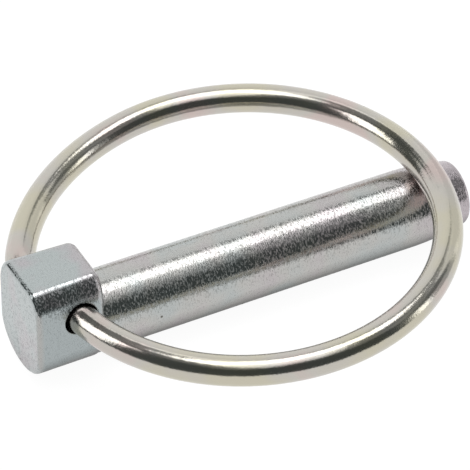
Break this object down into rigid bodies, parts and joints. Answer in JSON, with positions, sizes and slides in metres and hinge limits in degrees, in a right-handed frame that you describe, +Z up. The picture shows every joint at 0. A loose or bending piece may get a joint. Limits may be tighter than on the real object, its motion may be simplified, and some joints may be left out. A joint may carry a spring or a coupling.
{
  "type": "linch pin",
  "caption": "Linch pin: a round shank with an offset forged head, cross-drilled for a spring wire ring that swings over the head and closes on the shank.",
  "frame": {"origin": "on the shank's axis, in the plane of the head's shoulder", "axes": "+X along the shank from the head to the tip, +Z up towards the raised side of the head, on which the closed ring lies, +Y to the left when looking from the head to the tip"},
  "size_m": [0.0609, 0.0537, 0.014],
  "materials": {
    "zinc_forging": "bright zinc plate over forged steel, satin",
    "zinc_wire": "bright zinc plate over drawn spring wire, polished"
  },
  "bodies": {
    "pin": {"pin": "zinc_forging"},
    "ring": {"spring_ring": "zinc_wire"}
  },
  "joints": [
    {"name": "ring_swing", "type": "hinge", "parent": "pin", "child": "ring", "pos_m": [-0.0045, 0, 0.0044], "axis": [0.2145, -0.9765, -0.0202], "range_deg": [0, 343]}
  ]
}
